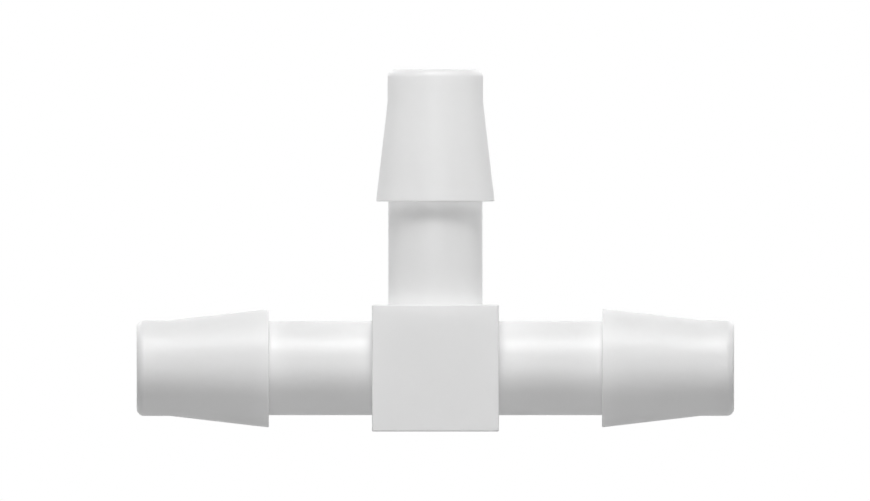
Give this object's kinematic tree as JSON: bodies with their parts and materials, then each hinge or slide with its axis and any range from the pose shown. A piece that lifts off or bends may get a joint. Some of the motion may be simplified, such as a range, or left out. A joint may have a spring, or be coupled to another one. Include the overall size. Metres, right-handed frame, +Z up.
{
  "type": "hose barb tee",
  "caption": "One-piece moulded tee: equal arms with a single sharp barb each on a cube-shaped block, joining three flexible tubes.",
  "frame": {"origin": "where the axes of the run bore and the branch bore cross, in the middle of the block", "axes": "+X along the run, from the left arm to the right one; +Z up along the branch arm; the front of the block faces -Y"},
  "size_m": [0.04, 0.0086, 0.0243],
  "materials": {
    "white_plastic": "satin"
  },
  "bodies": {
    "root": {"tee_body": "white_plastic"}
  },
  "joints": []
}
